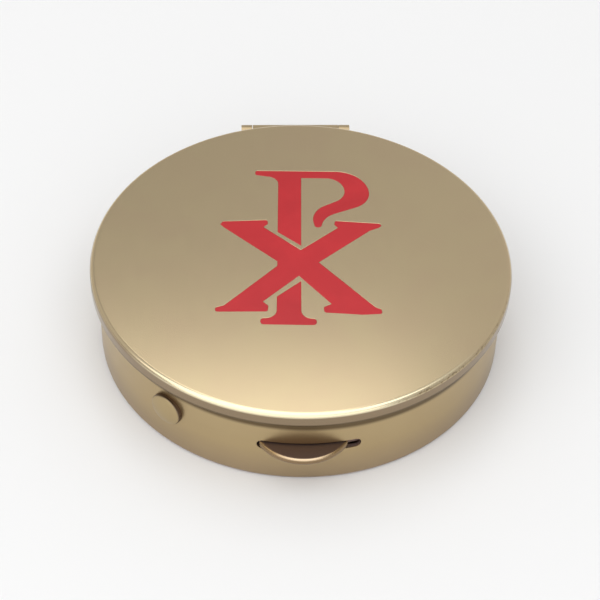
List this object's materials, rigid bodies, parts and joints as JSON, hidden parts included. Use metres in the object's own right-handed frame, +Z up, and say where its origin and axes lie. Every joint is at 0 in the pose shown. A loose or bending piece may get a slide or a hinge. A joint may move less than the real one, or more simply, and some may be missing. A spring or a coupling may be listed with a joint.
{
  "type": "pyx",
  "caption": "Round flat brass box for hosts, with a hinged lid inlaid with a red enamel chi-rho, a gilt well inside and a half-moon spring catch at the front.",
  "frame": {"origin": "middle of the flat underside", "axes": "+Z up through the lid, -Y to the front with the thumb catch, +Y to the hinge, +X to the right"},
  "size_m": [0.054, 0.0578, 0.0127],
  "materials": {
    "satin_brass": "satin, turned",
    "lid_brass": "straight brushed top with a polished edge",
    "hinge_brass": "satin",
    "catch_brass": "satin, toned dark on the thumb plate",
    "spring_bronze": "rolled spring bronze",
    "gilt_lining": "bright gilt",
    "red_enamel": "opaque fired enamel, polished flush"
  },
  "bodies": {
    "base": {"base_cup": "satin_brass", "host_liner": "gilt_lining", "base_hinge_leaf": "hinge_brass", "hinge_pin": "hinge_brass", "catch_spring": "spring_bronze", "catch_rivet": "catch_brass"},
    "catch": {"thumb_catch": "catch_brass", "thumb_rivets": "catch_brass"},
    "lid": {"lid_shell": "lid_brass", "lid_hinge_leaf": "hinge_brass", "lid_striker": "spring_bronze", "enamel_chi": "red_enamel", "enamel_rho_head": "red_enamel", "enamel_rho_foot": "red_enamel"}
  },
  "joints": [
    {"name": "lid_hinge", "type": "hinge", "parent": "base", "child": "lid", "pos_m": [0, 0.02815, 0.0101], "axis": [-1, 0, 0], "range_deg": [0, 110]},
    {"name": "catch_press", "type": "slide", "parent": "base", "child": "catch", "axis": [0, 1, 0], "range_m": [0, 0.0012], "stiffness_N_per_m": 600, "springref_m": -0.002, "deforming": ["catch_spring"]}
  ]
}
